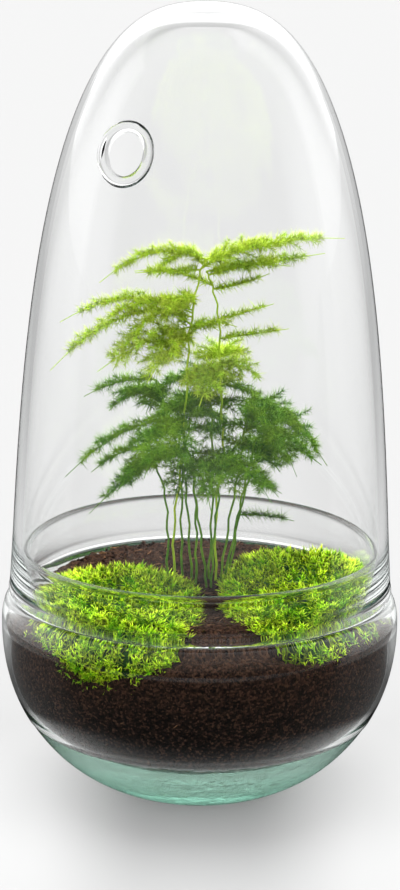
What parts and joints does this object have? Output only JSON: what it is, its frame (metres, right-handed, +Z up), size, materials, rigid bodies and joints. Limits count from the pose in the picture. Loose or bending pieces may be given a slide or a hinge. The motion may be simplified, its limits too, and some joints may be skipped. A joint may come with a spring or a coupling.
{
  "type": "glass plant terrarium",
  "caption": "Closed glass terrarium: a thick round glass bowl of dark soil with moss cushions and a feathery fern, under a tall egg-shaped glass dome with a round vent.",
  "frame": {"origin": "middle of the flat foot of the bowl, on the surface the terrarium stands on", "axes": "+Z up along the bowl's and dome's round axis, -Y the front, +X to the right seen from the front"},
  "size_m": [0.18, 0.18, 0.361],
  "materials": {
    "glass": "polished",
    "soil": "matte",
    "moss": "matte",
    "fern_young": "satin",
    "fern_grown": "satin"
  },
  "bodies": {
    "root": {"glass_bowl": "glass", "glass_dome": "glass", "soil": "soil", "moss_left": "moss", "moss_right": "moss", "fern_frond_01": "fern_young", "fern_frond_02": "fern_young", "fern_frond_03": "fern_grown", "fern_frond_04": "fern_grown", "fern_frond_05": "fern_grown", "fern_frond_06": "fern_grown", "fern_frond_07": "fern_grown", "fern_frond_08": "fern_grown", "fern_frond_09": "fern_grown", "fern_frond_10": "fern_grown", "fern_frond_11": "fern_grown", "fern_frond_12": "fern_grown"}
  },
  "joints": []
}
